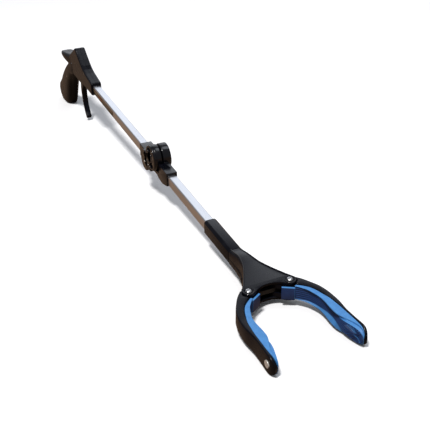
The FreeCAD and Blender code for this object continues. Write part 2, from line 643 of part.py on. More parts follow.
def build_jaws():
    jaw, liner, pin = build_left_jaw()
    pieces = {"jaw_arm": jaw, "jaw_liner": liner, "link_pin": pin}
    for name, piece in pieces.items():
        keep(name + "_left", piece)
    for name in ("jaw_liner", "link_pin"):
        keep(name + "_right", mirrored(pieces[name]))
    # the right arm carries a round magnet in a cup on its outer face
    cup = rod("Y", "magnet_radius", ("-49.6", "-46.9"), "magnet_x", "tip_mid")
    keep("jaw_arm_right", cut(mirrored(jaw), cup))
    keep("tip_magnet", rod("Y", "magnet_radius - 0.1", ("-50.7", "-47"), "magnet_x", "tip_mid"))


def build_slider():
    """The yoke that the cable pulls: a stem on the tool's axis and two slotted wings."""
    px, py = link_place()
    wing_low, wing_high = "jaw_mid - wing_half", "jaw_mid + wing_half"
    stem = box(("slider_back", "697"), ("-2.9", "2.9"), ("-3.4", wing_high))
    wings = box(("696.5", "slider_front"), ("-14.5", "14.5"), (wing_low, wing_high))
    slots = []
    room = size("link_pin_radius") + 0.35
    for side in (1, -1):
        inner, outer = side * (py - 0.5), side * (py + 4.8)
        low, high = min(inner, outer), max(inner, outer)
        slots.append(box((str(px - room), str(px + room)), (str(low), str(high)), ("-20", "20")))
        slots += [rod("Z", str(room), ("-20", "20"), str(px), str(y)) for y in (low, high)]
    keep("slider", cut(fuse(stem, wings), *slots, rod("X", "cable_radius", ("680", "slider_back + 4"), "0", "0")))
    keep("cable_stop", cut(rod("X", "2.2", ("slider_back - 3.2", "slider_back"), "0", "0"),
                           rod("X", "cable_radius", ("670", "700"), "0", "0")))


# ---------------------------------------------------------------- make, stand up, write
build_handle()
build_trigger()
build_tube("tube_rear", "rear_tube_start", "rear_tube_end")
build_tube("tube_front", "front_tube_start", "front_tube_end")
build_hinge()
build_latch()
build_sleeve()
build_head()
build_jaws()
build_slider()
doc.recompute()

for thing in doc.Objects:
    if {"Invalid", "Error"} & set(thing.State):
        raise RuntimeError(f"{thing.Name} ({thing.Label}) failed: {thing.State}")

# the tool leans by the stance angle; Z = 0 is its lowest point, the origin is below the
# middle of its box
lean = Placement(Vector(), Rotation(Vector(0, 1, 0), size("stance_tilt")))
box_all = FreeCAD.BoundBox()
for thing in NODES.values():
    shape = thing.Shape.copy()
    shape.Placement = lean * shape.Placement
    box_all.add(shape.optimalBoundingBox(False))
stance = Placement(Vector(-box_all.Center.x, -box_all.Center.y, -box_all.ZMin), lean.Rotation)
print("stance", stance.Base, size("stance_tilt"), "box", box_all.XLength, box_all.YLength, box_all.ZLength)

for node, thing in NODES.items():
    thing.Placement = stance * thing.Placement
    shape = thing.Shape
    if shape.isNull() or not shape.isValid():
        raise RuntimeError(node + " has no valid shape")
    print(f"{node:22s} solids {len(shape.Solids)} volume {shape.Volume:9.1f}")
    shape.exportStep(f"parts/{node}.step")
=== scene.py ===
"""Looks of a folding reacher grabber: a black pistol handle, a bright square tube with a fold
hinge, and a turning head whose two black jaws are lined with ribbed blue rubber.

Shapes are drawn in the tool's own level axes, in millimetres: X along the tube towards the
jaws, Y to the user's left, Z up, zero on the tube's centre line.  STANCE then lays them
down in the row frame, in metres.
"""
import json
import math

import bmesh
import bpy
from mathutils import Matrix, Vector


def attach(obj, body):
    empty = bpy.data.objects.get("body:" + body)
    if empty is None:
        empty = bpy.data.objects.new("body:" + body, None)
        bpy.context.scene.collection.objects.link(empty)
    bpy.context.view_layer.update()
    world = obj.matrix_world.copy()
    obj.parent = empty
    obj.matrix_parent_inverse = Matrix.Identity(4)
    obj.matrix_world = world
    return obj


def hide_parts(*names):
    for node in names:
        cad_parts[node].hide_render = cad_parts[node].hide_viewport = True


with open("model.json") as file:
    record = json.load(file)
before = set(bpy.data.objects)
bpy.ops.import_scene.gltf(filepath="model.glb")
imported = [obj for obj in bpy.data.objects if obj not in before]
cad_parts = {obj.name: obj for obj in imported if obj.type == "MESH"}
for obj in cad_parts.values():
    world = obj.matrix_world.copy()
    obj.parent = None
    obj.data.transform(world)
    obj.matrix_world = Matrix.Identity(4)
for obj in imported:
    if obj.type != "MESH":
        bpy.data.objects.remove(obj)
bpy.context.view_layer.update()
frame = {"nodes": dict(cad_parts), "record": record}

TILT = math.radians(5.93)             # the tube's slope when the tool stands on a table
TOOL_ZERO = (-0.332067, 0.00054, 0.086087)   # the tool's zero point in the row frame, metres
STANCE = (Matrix.Translation(TOOL_ZERO) @ Matrix.Rotation(TILT, 4, "Y")
          @ Matrix.Scale(0.001, 4))
BODY_OF = {node: body for body, nodes in frame["record"]["behaviour"]["bodies"].items()
           for node in nodes}


# ---------------------------------------------------------------- materials
def linear(hex_colour):
    """An sRGB hex value as linear red, green, blue, alpha."""
    parts = [int(hex_colour[i:i + 2], 16) / 255 for i in (1, 3, 5)]
    return tuple(p / 12.92 if p <= 0.04045 else ((p + 0.055) / 1.055) ** 2.4
                 for p in parts) + (1,)


def add(tree, kind, inputs=None, **settings):
    """Add one node, with its settings and with values or links on its inputs."""
    made = tree.nodes.new("ShaderNode" + kind)
    for key, value in settings.items():
        setattr(made, key, value)
    for key, value in (inputs or {}).items():
        if isinstance(value, bpy.types.NodeSocket):
            tree.links.new(value, made.inputs[key])
        else:
            made.inputs[key].default_value = value
    return made


def surface(name, dark, light, patch_mm, rough, grain_mm, grain_depth_mm, stretch=(1, 1, 1),
            metallic=0.0, **fixed):
    """Two near tones in soft patches, roughness that follows them, and a fine raised grain."""
    material = bpy.data.materials.new(name)
    material.use_nodes = True
    tree = material.node_tree
    tree.nodes.clear()
    place = add(tree, "TexCoord").outputs["Object"]
    level = add(tree, "Mapping", {"Vector": place, "Rotation": (0, -TILT, 0), "Scale": stretch})
    level = level.outputs["Vector"]
    patches = add(tree, "TexNoise", {"Vector": level, "Scale": 1000 / patch_mm, "Detail": 4.0})
    patches = patches.outputs["Fac"]
    grain = add(tree, "TexNoise", {"Vector": level, "Scale": 1000 / grain_mm, "Detail": 2.0})
    tone = add(tree, "ValToRGB", {"Fac": patches})
    for stop, place_on_ramp, colour in zip(tone.color_ramp.elements, (0.35, 0.65), (dark, light)):
        stop.position, stop.color = place_on_ramp, linear(colour)
    gloss = add(tree, "MapRange", {"Value": patches, "From Min": 0.3, "From Max": 0.7,
                                   "To Min": rough[0], "To Max": rough[1]})
    bump = add(tree, "Bump", {"Height": grain.outputs["Fac"], "Strength": 0.6,
                              "Distance": grain_depth_mm / 1000})
    shader = add(tree, "BsdfPrincipled", {"Base Color": tone.outputs["Color"],
                                          "Roughness": gloss.outputs["Result"],
                                          "Normal": bump.outputs["Normal"],
                                          "Metallic": metallic, **fixed})
    add(tree, "OutputMaterial", {"Surface": shader.outputs["BSDF"]})
    return material


# glass-filled nylon, spark-grained mould: black with a broad soft sheen
NYLON = surface("black_moulded_nylon", "#06070e", "#0a0b13", 9, (0.25, 0.32), 0.7, 0.004,
                **{"Specular IOR Level": 0.17})
# the same nylon on inner parts that rub: a little greyer and duller
NYLON_INNER = surface("black_inner_nylon", "#0d0e10", "#131417", 6, (0.38, 0.5), 0.6, 0.02)
# ABS from a polished mould: near black, sharp highlights
ABS = surface("black_polished_abs", "#05060b", "#080910", 12, (0.15, 0.2), 0.9, 0.002,
              **{"Specular IOR Level": 0.5})
# drawn aluminium tube, clear anodised: pale, with fine lines along its length
TUBE = surface("clear_anodised_aluminium", "#dddfe5", "#e6e8ed", 14, (0.26, 0.31), 0.9, 0.002,
               stretch=(0.02, 1, 1), metallic=1.0)
# thermoplastic rubber: mid blue, soft matt bloom
RUBBER = surface("blue_thermoplastic_rubber", "#3a79b8", "#4384c2", 5, (0.5, 0.62), 0.8, 0.02)
# the gripping faces of the same rubber, made darker navy as painted shade of faces turned away from the light, and a
# little smoother
PAD_PAINTED_SHADE = surface("blue_rubber_painted_shade", "#1b3869", "#213f74", 4, (0.4, 0.5), 0.8, 0.03)
# zinc-plated steel, on pins and screws: cool grey with faint plating mottle
ZINC = surface("zinc_plated_steel", "#b4b5b8", "#d2d3d4", 1.5, (0.2, 0.32), 0.5, 0.01, metallic=1.0)
# spring steel wire
WIRE = surface("spring_steel_wire", "#8f9093", "#a9aaad", 1.2, (0.28, 0.4), 0.4, 0.01, metallic=1.0)
# nickel plate, on the magnet and the latch's pin: bright and warm
NICKEL = surface("nickel_plated_magnet", "#e2ded8", "#efece7", 2.0, (0.24, 0.32), 0.5, 0.006,
                 metallic=0.45)
# printed polyester label: dark olive film, with blank tan and brick-red blocks
LABEL = surface("dark_label_film", "#2c2314", "#372c19", 6, (0.2, 0.28), 1.2, 0.002)
TAN_INK = surface("tan_label_ink", "#83735f", "#8f7f6a", 5, (0.25, 0.33), 1.2, 0.002)
RED_INK = surface("brick_red_label_ink", "#7d4229", "#8a4a2e", 5, (0.25, 0.33), 1.2, 0.002)

# CAD nodes that are shown as they are
FINISH = {"tip_magnet": NICKEL, "latch_spring": WIRE, "return_spring": WIRE, "cable_rear": WIRE,
          "cable_front": WIRE, "cable_stop": ZINC, "cable_anchor": ZINC, "handle_screws": ZINC,
          "trigger_pin": ZINC, "hinge_bolt": ABS, "hinge_nut": ZINC, "head_screws": ZINC,
          "pivot_nuts": ZINC, "link_pin_left": ZINC, "link_pin_right": ZINC,
          "slider": NYLON_INNER, "hinge_washer": NYLON_INNER}


# ---------------------------------------------------------------- modelling helpers
def clear_selection():
    """Leave edit mode and select nothing."""
    if bpy.context.object and bpy.context.object.mode != "OBJECT":
        bpy.ops.object.mode_set(mode="OBJECT")
    bpy.ops.object.select_all(action="DESELECT")


def pick(piece):
    """Select one piece alone and make it the active one."""
    clear_selection()
    piece.select_set(True)
    bpy.context.view_layer.objects.active = piece


def modify(piece, kind, **settings):
    """Add one modifier and apply it at once."""
    pick(piece)
    made = piece.modifiers.new(kind.title(), kind)
    for key, value in settings.items():
        setattr(made, key, value)
    bpy.ops.object.modifier_apply(modifier=made.name)


def dress(piece, body, slot, *materials):
    """Give a finished piece its materials and the body that it moves with."""
    piece.data.materials.clear()
    for material in materials:
        piece.data.materials.append(material)
    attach(piece, body)
    return piece


def smooth(piece, degrees=35):
    """Shade smoothly across all but the sharper edges."""
    pick(piece)
    bpy.ops.object.shade_smooth_by_angle(angle=math.radians(degrees))


def tidy_mesh(piece):
    """Merge doubled points, 0.002 mm apart or less, and turn every face outwards."""
    pick(piece)
    bpy.ops.object.mode_set(mode="EDIT")
    bpy.ops.mesh.select_all(action="SELECT")
    bpy.ops.mesh.remove_doubles(threshold=2e-6)
    bpy.ops.mesh.normals_make_consistent(inside=False)
    bpy.ops.object.mode_set(mode="OBJECT")


def soften(piece, width_mm, segments=3, degrees=32):
    """Round the sharp edges, as a mould does."""
    modify(piece, "BEVEL", width=width_mm / 1000, segments=segments, limit_method="ANGLE",
           angle_limit=math.radians(degrees), use_clamp_overlap=False)


def copy_node(node):
    """A copy of a CAD node with its loose triangles merged and its flat faces made whole."""
    piece = bpy.data.objects.new(node + "_finished", frame["nodes"][node].data.copy())
    bpy.context.scene.collection.objects.link(piece)
    pick(piece)
    bpy.ops.object.mode_set(mode="EDIT")
    bpy.ops.mesh.select_all(action="SELECT")
    bpy.ops.mesh.remove_doubles(threshold=5e-6)
    bpy.ops.mesh.dissolve_limited(angle_limit=math.radians(0.4))
    bpy.ops.object.mode_set(mode="OBJECT")
    return piece


def moulded(node, material, width_mm):
    """A CAD node shown with rounded edges."""
    piece = copy_node(node)
    soften(piece, width_mm)
    smooth(piece)
    dress(piece, BODY_OF[node], node, material)
    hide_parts(node)
    return piece


def settle(piece):
    """Lay a piece drawn in the tool's axes down in the row frame."""
    piece.data.transform(STANCE)
    return piece


def mirror_copy(piece, name):
    """The same piece on the other side of the tool."""
    twin = piece.copy()
    twin.data = piece.data.copy()
    twin.name = name
    bpy.context.scene.collection.objects.link(twin)
    twin.data.transform(Matrix.Scale(-1, 4, (0, 1, 0)))
    twin.data.flip_normals()
    return twin


def loft(name, rings):
    """Fill a circle, shape it as the first ring, and extrude it on from ring to ring."""
    clear_selection()
    bpy.ops.mesh.primitive_circle_add(vertices=len(rings[0]), radius=1, fill_type="NGON")
    piece = bpy.context.object
    piece.name = name
    for vertex, point in zip(piece.data.vertices, rings[0]):
        vertex.co = point
    bpy.ops.object.mode_set(mode="EDIT")
    bpy.ops.mesh.select_all(action="SELECT")
    for before, ring in zip(rings, rings[1:]):
        bpy.ops.mesh.extrude_region_move()
        mesh = bmesh.from_edit_mesh(piece.data)
        moved = [v for v in mesh.verts if v.select]
        for vertex in moved:
            nearest = min(range(len(ring)), key=lambda i: (vertex.co - Vector(before[i])).length)
            vertex.co = ring[nearest]
        bmesh.update_edit_mesh(piece.data)
    bpy.ops.mesh.select_all(action="SELECT")
    bpy.ops.mesh.normals_make_consistent(inside=False)
    bpy.ops.object.mode_set(mode="OBJECT")
    return piece


def curve_through(rows, steps):
    """Rows of numbers joined by a smooth curve through all of them."""
    out = []
    for i in range(len(rows) - 1):
        a, b, c, d = (rows[max(i - 1, 0)], rows[i], rows[i + 1], rows[min(i + 2, len(rows) - 1)])
        for k in range(steps):
            t = k / steps
            out.append([0.5 * (2 * q + (r - p) * t + (2 * p - 5 * q + 4 * r - s) * t * t
                               + (3 * q - p - 3 * r + s) * t ** 3)
                        for p, q, r, s in zip(a, b, c, d)])
    out.append(list(rows[-1]))
    return out


def bead(name, points, radius_mm):
    """A round bead of even thickness along a smooth line."""
    curve = bpy.data.curves.new(name, "CURVE")
    curve.dimensions = "3D"
    line = curve.splines.new("POLY")
    line.points.add(len(points) - 1)
    for target, point in zip(line.points, points):
        target.co = (*point, 1)
    curve.bevel_depth, curve.bevel_resolution, curve.use_fill_caps = radius_mm, 2, True
    piece = bpy.data.objects.new(name, curve)
    bpy.context.scene.collection.objects.link(piece)
    pick(piece)
    bpy.ops.object.convert(target="MESH")
    return bpy.context.object


def plate(name, outline, low, high):
    """An outline in the X-Z plane drawn out along Y."""
    return loft(name, [[(x, y, z) for x, z in outline] for y in (low, high)])


def join(first, others):
    """Make the others part of the first piece."""
    clear_selection()
    for piece in (*others, first):
        piece.select_set(True)
    bpy.context.view_layer.objects.active = first
    bpy.ops.object.join()


def unite(piece, other):
    """Fuse another solid with a piece and throw the other away."""
    modify(piece, "BOOLEAN", operation="UNION", object=other, solver="EXACT")
    bpy.data.objects.remove(other)


def cut_with(piece, tool):
    """Take a cutter out of a piece and throw the cutter away."""
    modify(piece, "BOOLEAN", operation="DIFFERENCE", object=tool, solver="EXACT")
    bpy.data.objects.remove(tool)


def peg(axis, radius, low, high, u, v, count=32):
    """A cylinder along X, Y or Z, used as a cutter."""
    spot = {"X": lambda s, a, b: (s, a, b), "Y": lambda s, a, b: (a, s, b),
            "Z": lambda s, a, b: (a, b, s)}
    turns = [2 * math.pi * k / count for k in range(count)]
    return loft("cutter", [[spot[axis](s, u + radius * math.cos(t), v + radius * math.sin(t))
                            for t in turns] for s in (low, high)])


def brick(x, y, z):
    """A box between two values on each axis."""
    return loft("cutter", [[(x[0], y[0], s), (x[1], y[0], s), (x[1], y[1], s), (x[0], y[1], s)]
                           for s in z])


# ---------------------------------------------------------------- handle
GRIP_SQUARENESS, GRIP_POINTS = 3.2, 36      # 2 would be an ellipse, and more is squarer


def rounded_ring(front, back, half_width):
    """A rounded section of the grip between a front and a back point of its side view."""
    front, back = Vector((front[0], 0, front[1])), Vector((back[0], 0, back[1]))
    middle, reach = (front + back) / 2, (front - back) / 2
    ring = []
    for k in range(GRIP_POINTS):
        a = 2 * math.pi * k / GRIP_POINTS
        c, s = math.cos(a), math.sin(a)
        c = math.copysign(abs(c) ** (2 / GRIP_SQUARENESS), c)
        s = math.copysign(abs(s) ** (2 / GRIP_SQUARENESS), s)
        ring.append(middle + reach * c + Vector((0, half_width * s, 0)))
    return ring


HOUSING = [(112, -9.5), (112, 10.9), (96, 13.4), (78, 16.4), (66, 19.2), (58, 22.5), (46, 29.5),
           (34, 37), (27.5, 41.9), (23, 42.9), (18.5, 41.2), (4, 32), (-12, 23.4), (-22, 17.6), (-26, 12), (-27, -2),
           (-22, -9), (-12, -12), (10, -12.6), (48, -12.4), (56, -9.8), (64, -9.5)]
GRIP = [  # front x, z, back x, z, half width
    (4, 6, -30, 14, 8.6), (0, -4, -34, 6, 9.6), (-8, -13.5, -39.5, -1, 10.6), (-20, -18, -48.5, -7.5, 11.4),
    (-31, -27.5, -63, -17.5, 11.9), (-41, -39, -79, -29, 12), (-49, -52, -94.5, -41, 12),
    (-55, -64, -107, -52, 12), (-60.5, -75, -119.5, -61, 12), (-66, -85, -131, -69, 12),
    (-70.5, -91.4, -136, -78, 11.8), (-72.5, -93.1, -134.5, -87.5, 11.4), (-75, -93.6, -128.8, -97.2, 10.2)]
HORN = [  # lower x, z, upper x, z, half width
    (-14, -6, -16, 19, 8.7), (-28, -4, -30, 16.4, 10), (-44, -2.6, -44, 14.4, 11.4),
    (-60, -0.5, -60, 11.8, 12), (-70, 1.6, -70, 10, 11.6), (-77, 4.6, -77.6, 8.9, 9.5)]
HOUSING_HALF = 8.75
# x, z, half width of the handle there
SCREWS = [(16, 31, 8.75), (-9, 8, 8.75), (66, 12.6, 8.75), (-50, -30, 12), (-92, -74, 12)]


def make_handle():
    """One moulding drawn whole, then parted on the middle plane into its two halves."""
    housing = plate("housing", HOUSING, -HOUSING_HALF, HOUSING_HALF)
    modify(housing, "BEVEL", width=1.8, segments=3, limit_method="ANGLE",
           angle_limit=math.radians(40))
    grip = loft("grip", [rounded_ring(row[0:2], row[2:4], row[4]) for row in curve_through(GRIP, 3)])
    horn = loft("horn", [rounded_ring(row[0:2], row[2:4], row[4]) for row in curve_through(HORN, 3)])
    join(housing, (grip, horn))
    modify(housing, "REMESH", mode="VOXEL", voxel_size=0.85)
    modify(housing, "SMOOTH", factor=0.5, iterations=5)
    cut_with(housing, brick((-6, 60), (-4.8, 4.8), (-30, 17)))              # the trigger's slot
    cut_with(housing, brick((104, 120), (-5.85, 5.85), (-7.0, 7.0)))        # the tube's socket
    halves = {}
    for side, node in ((1, "handle_shell_left"), (-1, "handle_shell_right")):
        half = housing.copy()
        half.data = housing.data.copy()
        half.name = node + "_finished"
        bpy.context.scene.collection.objects.link(half)
        pick(half)
        bpy.ops.object.mode_set(mode="EDIT")
        bpy.ops.mesh.select_all(action="SELECT")
        bpy.ops.mesh.bisect(plane_co=(0, side * 0.12, 0), plane_no=(0, side, 0), clear_inner=True,
                            use_fill=True)
        bpy.ops.object.mode_set(mode="OBJECT")
        halves[side] = half
    bpy.data.objects.remove(housing)
    for x, z, half_width in SCREWS:
        cut_with(halves[-1], peg("Y", 2.9, -20, -(half_width - 1.9), x, z))
    for side, node in ((1, "handle_shell_left"), (-1, "handle_shell_right")):
        half = settle(halves[side])
        tidy_mesh(half)
        smooth(half, 40)
        dress(half, "handle", node, NYLON)
        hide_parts(node)


# ---------------------------------------------------------------- jaws
MID = 3.3                         # middle height of the root
PIVOT = (709, 22.9)
BOSS = 7.9                        # radius round the pivot
JAW_HEIGHT = 10.2                 # half the tip's height
TIP_MID = 6.8                     # middle height of the tip
MAGNET = (799, 3.8)               # x and radius
ARM = [  # outer x, y; inner x, y
    (704.2, 28.6, 709.5, 30.3), (709.5, 33.6, 713.8, 28.6), (714, 36.9, 716.5, 25.3),
    (718.5, 39.6, 720.2, 28.6), (728, 44.8, 725.6, 33.7), (736, 47.4, 733, 37.9),
    (743, 48.8, 741, 40.7), (757, 49.4, 754, 43.6), (773, 48.0, 771, 45.0), (788, 48.2, 787, 45.5),
    (798, 48.7, 797, 45.6), (805, 48.1, 803.6, 45.0), (809.8, 46.1, 808.7, 43.6)]


def jaw_span(x, inset):
    """Bottom and top of the jaw at x: it deepens upwards to an oval tip."""
    rise = 3.5 * max(0, min(x, 800) - 745) / 55
    low, high = -3.4 + inset, 13.5 + rise - inset
    if x > 792:
        reach = math.sqrt(max((JAW_HEIGHT - inset) ** 2 - max(x - 800, 0) ** 2, 4.0))
        low, high = max(low, TIP_MID - reach), min(high, TIP_MID + reach)
    return low, high


def arm_ring(row):
    """A rounded oblong section from the outer to the inner side of the arm."""
    outer, inner = Vector(row[:2]), Vector(row[2:])
    width = (inner - outer).length
    across = (inner - outer) / width
    low, high = jaw_span(max(row[0], row[2]), 0)
    round_by = min(1.5, 0.38 * width, 0.3 * (high - low))
    ring = []
    for side, up, start in ((1, 1, 90), (1, -1, 0), (0, -1, -90), (0, 1, -180)):
        for step in range(4):
            a = math.radians(start - 30 * step)
            u = (width - round_by if side else round_by) + round_by * math.cos(a)
            z = (high - round_by if up > 0 else low + round_by) + round_by * math.sin(a)
            spot = outer + across * u
            ring.append((spot.x, spot.y, z))
    return ring


def slab(name, outline, low, high):
    """An outline in the X-Y plane drawn up along Z."""
    return loft(name, [[(x, y, z) for x, y in outline] for z in (low, high)])


def make_arms():
    """The black outer arm: a bar that bows round the gap, on a forked root with a boss."""
    arm = loft("arm", [arm_ring(row) for row in curve_through(ARM, 5)])
    boss = [(PIVOT[0] + BOSS * math.cos(math.radians(a)),
             PIVOT[1] + BOSS * math.sin(math.radians(a))) for a in range(-24, 170, 8)]
    tail = [(701 + 3.5 * math.cos(math.radians(a)), 6.9 + 3.5 * math.sin(math.radians(a)))
            for a in range(170, 320, 15)]
    root = slab("root", boss + [(701.2, 21)] + tail + [(711, 12.8)], -4.1, 10.7)
    soften(root, 0.5, 2, 50)
    cut_with(root, brick((685, 712), (-5, 14.9), (MID - 2.8, MID + 2.8)))
    unite(arm, root)
    cut_with(arm, peg("Z", 2.05, -20, 30, *PIVOT))
    arm.name = "jaw_arm_left_finished"
    settle(arm)
    tidy_mesh(arm)
    twin = mirror_copy(arm, "jaw_arm_right_finished")
    cup = settle(peg("Y", MAGNET[1], -49.6, -46.9, MAGNET[0], TIP_MID, 40))
    cut_with(twin, cup)
    for piece, side in ((arm, "left"), (twin, "right")):
        smooth(piece, 32)
        dress(piece, side + "_jaw", "jaw_arm_" + side, NYLON)
        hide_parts("jaw_arm_" + side)


LINING = [  # arm side x, y; flange edge x, y; pad x, y; pad's lower and upper edge
    (718.4, 24.4, 719.4, 22.6, 719.6, 22.5, -1.8, 12.4),
    (722.4, 29.6, 725, 27.3, 725, 28, -1.6, 12.4),
    (727.5, 34.6, 730.5, 31.1, 730, 32.3, -1.2, 12.3),
    (734, 38.1, 737.5, 33.8, 737, 35.2, -0.6, 12.2),
    (741.5, 40.6, 744.5, 35.9, 744.5, 36.9, 0.3, 12.0),
    (750, 43.0, 753, 36.4, 753.0, 38.2, 1.4, 11.9),
    (759, 44.0, 760.5, 35.9, 760.6, 38.4, 2.4, 11.9), (768, 44.7, 768, 35.6, 768.0, 38.0, 2.9, 12.0),
    (776, 44.9, 775.5, 36.1, 775.5, 37.0, 2.8, 12.1), (783.5, 45.2, 782.5, 38.4, 782.5, 36.8, 1.6, 12.9),
    (791, 45.4, 789.5, 41.2, 790.0, 38.0, 0.0, 13.9), (797.5, 45.3, 796.6, 43.2, 797.2, 39.9, -0.9, 14.3),
    (803.2, 44.8, 803.0, 43.9, 803.4, 41.4, -0.2, 13.6), (807, 44.0, 806.8, 43.7, 807.0, 42.2, 2.4, 11.4),
    (808.3, 43.6, 808.2, 43.3, 808.3, 42.6, 4.6, 9.0)]
RIBS, RIB_DEPTH = 6, 0.6


def lining_ring(row):
    """Flange along the top and the bottom, and between them the pad with ribs along its length."""
    outer, flange, pad = Vector(row[0:2]), Vector(row[2:4]), Vector(row[4:6])
    low, high = row[6:]
    bottom, top = jaw_span(max(row[0], row[2]), 0.4)
    inward = (pad - outer).normalized()
    edge = min(0.5, 0.2 * (top - high)) if top > high else 0.05
    upper = [(outer, top), (flange.lerp(outer, 0.12), top), (flange, top - edge),
             (flange, max(high + 0.25, top - 1.4)), (pad.lerp(outer, 0.16), high + 0.1)]
    ribs = []
    for k in range(2 * RIBS + 1):
        sink = 0.0 if k % 2 == 0 else RIB_DEPTH
        ribs.append((pad - inward * sink, high + (low - high) * k / (2 * RIBS)))
    lip = low - bottom
    lower = [(pad.lerp(outer, 0.16), low - 0.1), (flange, bottom + min(1.2, 0.35 * lip)),
             (flange, bottom + min(0.4, 0.2 * lip)), (flange.lerp(outer, 0.12), bottom), (outer, bottom)]
    return [(spot.x, spot.y, z) for spot, z in upper + ribs + lower]


def pad_at(x):
    """The pad's y and its lower and upper edge at x."""
    row = min(curve_through(LINING, 5), key=lambda row: abs(row[4] - x))
    return row[5], row[6], row[7]


def make_linings():
    """Blue rubber linings: flanges, a ribbed pad whose inward faces carry painted shade in navy, fanned ribs on the
    tip and a root strip.
    """
    lining = settle(loft("jaw_liner_left_finished", [lining_ring(row) for row in curve_through(LINING, 5)]))
    strip = loft("strip", [[(x + dx, y + dy, z) for dx, dy in ((0, 0), (1.9, -1.1)) for z in
                            ((-4.1, 10.7) if not dx else (10.7, -4.1))]
                           for x, y in ((711.7, 12.2), (715.2, 17.9), (718.7, 23.8))])
    settle(strip)
    soften(strip, 0.5)
    extras = [strip]
    for k in range(17):
        a = math.radians(-112 + 14 * k)
        points = []
        for r in (1.6, 3.2, 4.8, 6.4, 8.0):
            x, z = 800.5 - r * math.cos(a) * 1.9, TIP_MID + r * math.sin(a) * 0.95
            y, low, high = pad_at(x)
            if low + 0.2 < z < high - 0.2:
                points.append((x, y + 0.02, z))
        if len(points) > 1:
            extras.append(settle(bead("fan_rib", points, 0.36)))
    join(lining, extras)
    twin = mirror_copy(lining, "jaw_liner_right_finished")
    unlay = STANCE.inverted()
    for piece, side in ((lining, "left"), (twin, "right")):
        smooth(piece, 28)
        dress(piece, side + "_jaw", "jaw_liner_" + side, RUBBER, PAD_PAINTED_SHADE)
        inward = -1 if side == "left" else 1
        # painted shade: the pad's faces that look inward get the darker navy rubber, standing in for the shade of
        # faces turned from the light
        for face in piece.data.polygons:
            spot = unlay @ face.center
            _, low, high = pad_at(spot.x) if spot.x > 719 else (0, -9, 9)
            face.material_index = int(face.normal.y * inward > 0.3 and low - 0.1 < spot.z < high + 0.1)
        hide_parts("jaw_liner_" + side)


# ---------------------------------------------------------------- head
HEAD_TOP = [  # x, wall half width, wall top, plate half width, plate height
    (632.05, 7.1, 6.0, 4.3, 8.6), (632.9, 7.8, 6.6, 4.9, 9.4), (637, 7.8, 6.9, 5.0, 10.0),
    (642, 7.8, 7.9, 5.1, 11.5),
    (648, 7.8, 9.2, 5.3, 13.1), (654, 8.1, 10.3, 5.9, 14.0), (661, 8.9, 11.1, 7.2, 14.2),
    (668, 10.2, 11.6, 8.8, 14.2), (676, 13.1, 11.8, 11.8, 14.2), (684, 16.8, 11.8, 15.5, 14.2),
    (692, 21.0, 11.8, 19.7, 14.2), (699, 24.8, 11.8, 23.5, 14.2), (704, 27.3, 11.8, 26.0, 14.2),
    (709, 28.6, 11.8, 27.4, 14.2), (713.5, 26.4, 11.8, 25.2, 14.2)]
EAR = 6.6                         # radius round the pivot bolt
PLATE_UNDER, PLATE_TOP = 11.2, 14.2
CAVITY = [(650, 4.6), (664, 6.8), (676, 10.2), (697, 21.6), (745, 44)]


def head_ring(row):
    """A section across the head's upper half: upright walls that round over to the plate."""
    x, wall, wall_top, plate_half, top = row
    over, up = wall - plate_half, top - wall_top
    upper = [(wall, 0.05), (wall, wall_top), (wall - 0.25 * over, wall_top + 0.55 * up),
             (plate_half + 0.3 * over, top - 0.08 * up), (plate_half, top)]
    return [(x, y, z) for y, z in upper + [(-y, z) for y, z in reversed(upper)]]


def make_head_top():
    """The upper half of the head: it swells from the tube's sleeve into a flat plate with two ears."""
    shell = loft("head_shell_top_finished", [head_ring(row) for row in curve_through(HEAD_TOP, 3)])
    for side in (1, -1):
        unite(shell, peg("Z", EAR, PLATE_UNDER, PLATE_TOP, PIVOT[0], side * PIVOT[1], 40))
    cut_with(shell, brick((698, 760), (-50, 50), (-1, PLATE_UNDER)))
    room = CAVITY + [(x, -y) for x, y in reversed(CAVITY)]
    cut_with(shell, slab("cutter", room, -1, PLATE_UNDER))
    cut_with(shell, peg("Z", 23.7, -20, 30, 729.7, 0, 96))
    cut_with(shell, peg("X", 5.05, 600, 648.3, 0, 0))
    cut_with(shell, peg("X", 6.1, 643.9, 647.1, 0, 0))
    for side in (1, -1):
        cut_with(shell, peg("Z", 3.9, 13.55, 20, PIVOT[0], side * PIVOT[1], 40))
    settle(shell)
    tidy_mesh(shell)
    soften(shell, 0.35, 2, 40)
    smooth(shell, 38)
    dress(shell, "head", "head_shell_top", NYLON)
    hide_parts("head_shell_top")


def make_rim():
    """A fine raised lip along both sides of the head's plate and round its ears."""
    side = [(x, plate_half - 0.1, top + 0.02)
            for x, _, _, plate_half, top in curve_through(HEAD_TOP[:12], 3)]
    ear = [(PIVOT[0] + 5.7 * math.cos(math.radians(a)),
            PIVOT[1] + 5.7 * math.sin(math.radians(a)), 14.22) for a in range(110, -100, -12)]
    for sign, side_name in ((1, "left"), (-1, "right")):
        line = [(x, sign * y, z) for x, y, z in side + ear]
        lip = settle(bead("head_lip_" + side_name, line, 0.62))
        smooth(lip, 60)
        dress(lip, "head", "head_shell_top", ABS)


def turned(name, profile, x, y):
    """A turned piece: its profile of radius and height carried round an upright axis."""
    turns = [2 * math.pi * k / 40 for k in range(40)]
    return loft(name, [[(x + r * math.cos(t), y + r * math.sin(t), z) for t in turns]
                       for r, z in profile])


BOLT = [(2.0, -9.2), (2.0, 13.5), (3.35, 13.6), (3.4, 14.3), (3.1, 14.85), (2.55, 15.3), (1.9, 15.6),
        (1.45, 15.7), (1.25, 15.62), (1.15, 15.0)]


def make_pivot_bolts():
    """Domed pivot bolts with a small driver dimple, sunk in shallow seats."""
    pair, other = [turned("pivot_bolt", BOLT, PIVOT[0], side * PIVOT[1]) for side in (1, -1)]
    join(pair, [other])
    pair.name = "pivot_bolts_finished"
    settle(pair)
    smooth(pair, 40)
    dress(pair, "head", "pivot_bolts", ZINC)
    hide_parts("pivot_bolts")


